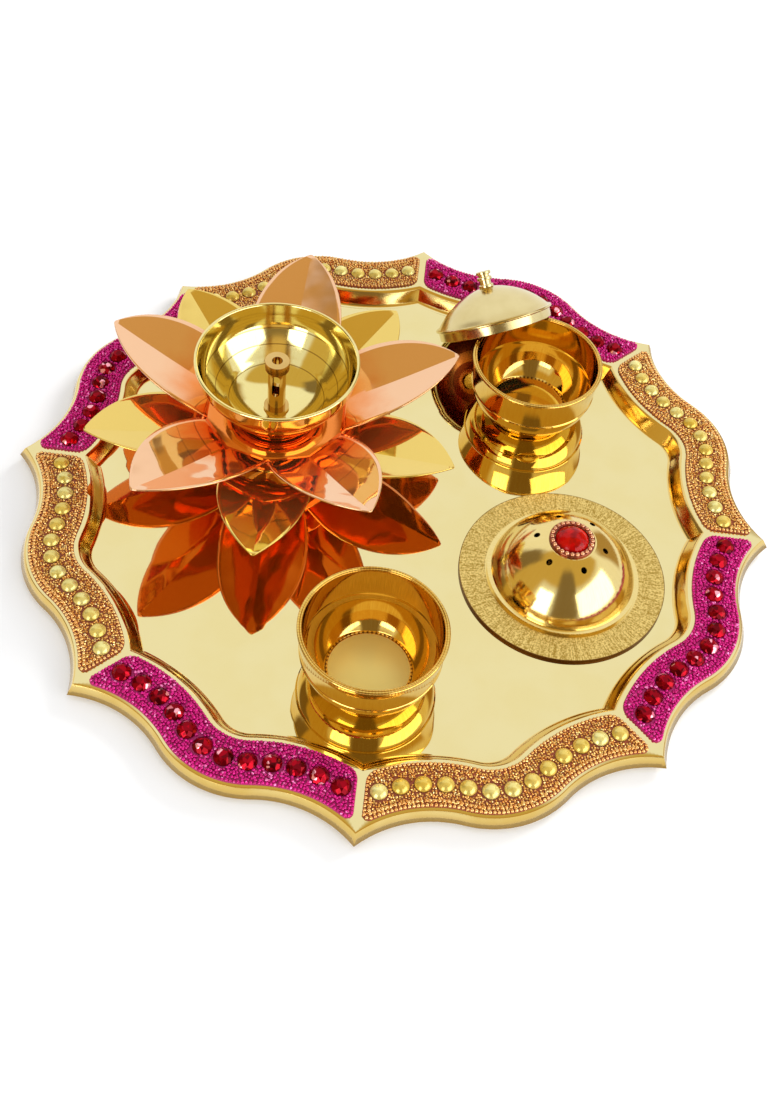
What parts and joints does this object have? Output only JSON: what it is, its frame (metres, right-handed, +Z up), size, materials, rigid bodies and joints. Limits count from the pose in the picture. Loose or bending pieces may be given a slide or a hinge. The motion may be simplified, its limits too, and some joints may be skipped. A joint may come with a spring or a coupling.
{
  "type": "puja thali set",
  "caption": "Lobed brass worship tray with jewelled rim panels, carrying a lotus oil lamp, small bowls, a leaning lid and a domed incense stand.",
  "frame": {"origin": "on the table under the middle of the tray", "axes": "+Z up, -Y towards the front tip of the rim, +X to the right"},
  "size_m": [0.3056, 0.3056, 0.0515],
  "materials": {
    "brass": "mirror polished, lightly lacquered",
    "copper": "mirror polished copper",
    "gold_bed": "resin with gold granules",
    "gold_border": "rows of copper-coloured beads",
    "gold_stones": "pearly cabochons",
    "red_bed": "resin with magenta seed beads",
    "red_border": "rows of magenta beads",
    "red_stones": "faceted red stones",
    "red_glass": "domed red stone"
  },
  "bodies": {
    "tray": {"tray": "brass", "gold_panel_bed_1": "gold_bed", "gold_panel_border_1": "gold_border", "gold_panel_stones_1": "gold_stones", "red_panel_bed_2": "red_bed", "red_panel_border_2": "red_border", "red_panel_stones_2": "red_stones", "gold_panel_bed_3": "gold_bed", "gold_panel_border_3": "gold_border", "gold_panel_stones_3": "gold_stones", "red_panel_bed_4": "red_bed", "red_panel_border_4": "red_border", "red_panel_stones_4": "red_stones", "gold_panel_bed_5": "gold_bed", "gold_panel_border_5": "gold_border", "gold_panel_stones_5": "gold_stones", "red_panel_bed_6": "red_bed", "red_panel_border_6": "red_border", "red_panel_stones_6": "red_stones", "gold_panel_bed_7": "gold_bed", "gold_panel_border_7": "gold_border", "gold_panel_stones_7": "gold_stones", "red_panel_bed_8": "red_bed", "red_panel_border_8": "red_border", "red_panel_stones_8": "red_stones"},
    "lotus_lamp": {"lotus_foot": "brass", "brass_petals": "brass", "copper_petals": "copper", "lamp_bowl": "brass"},
    "wick_holder": {"wick_holder": "brass"},
    "lidded_bowl": {"lidded_bowl": "brass"},
    "bowl_lid": {"lid_shell": "brass", "lid_knob": "brass", "lid_rivet": "brass"},
    "open_bowl": {"open_bowl": "brass"},
    "incense_stand": {"incense_dome": "brass", "stone_setting": "copper", "red_stone": "red_glass"}
  },
  "joints": [
    {"name": "lotus_lamp_lift", "type": "slide", "parent": "tray", "child": "lotus_lamp", "axis": [0, 0, 1], "range_m": [0, 0.08]},
    {"name": "wick_holder_lift", "type": "slide", "parent": "lotus_lamp", "child": "wick_holder", "axis": [0, 0, 1], "range_m": [0, 0.05]},
    {"name": "lidded_bowl_lift", "type": "slide", "parent": "tray", "child": "lidded_bowl", "axis": [0, 0, 1], "range_m": [0, 0.08]},
    {"name": "bowl_lid_lift", "type": "slide", "parent": "lidded_bowl", "child": "bowl_lid", "axis": [0, 0, 1], "range_m": [0, 0.06]},
    {"name": "open_bowl_lift", "type": "slide", "parent": "tray", "child": "open_bowl", "axis": [0, 0, 1], "range_m": [0, 0.08]},
    {"name": "incense_stand_lift", "type": "slide", "parent": "tray", "child": "incense_stand", "axis": [0, 0, 1], "range_m": [0, 0.08]}
  ]
}
